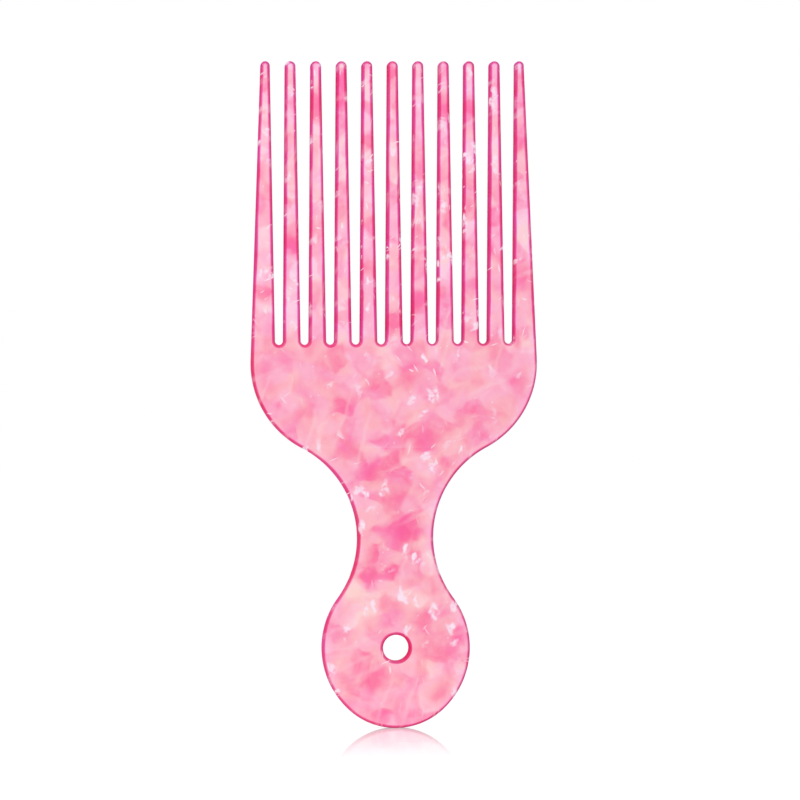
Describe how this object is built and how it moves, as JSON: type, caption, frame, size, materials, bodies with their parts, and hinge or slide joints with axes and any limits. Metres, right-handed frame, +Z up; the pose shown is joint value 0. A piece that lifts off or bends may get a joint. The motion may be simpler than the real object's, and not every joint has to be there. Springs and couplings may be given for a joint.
{
  "type": "comb",
  "caption": "Hair pick with long straight teeth, wide round shoulders and a round handle with a hang hole, cut from pink marbled pearl sheet.",
  "frame": {"origin": "lowest point of the round handle, in the middle of the sheet's thickness, on the comb's centre line", "axes": "+Z up along the comb from the handle to the tips of the teeth, +X to the right, +Y through the sheet away from the viewer"},
  "size_m": [0.0816, 0.004, 0.1895],
  "materials": {
    "marbled_acetate": "polished translucent cellulose acetate, marbled in pinks with pearl flakes"
  },
  "bodies": {
    "root": {"handle": "marbled_acetate", "neck": "marbled_acetate", "shoulder": "marbled_acetate", "spine": "marbled_acetate", "guard_tooth_left": "marbled_acetate", "guard_tooth_right": "marbled_acetate", "tooth_1": "marbled_acetate", "tooth_2": "marbled_acetate", "tooth_3": "marbled_acetate", "tooth_4": "marbled_acetate", "tooth_5": "marbled_acetate", "tooth_6": "marbled_acetate", "tooth_7": "marbled_acetate", "tooth_8": "marbled_acetate", "tooth_9": "marbled_acetate"}
  },
  "joints": []
}
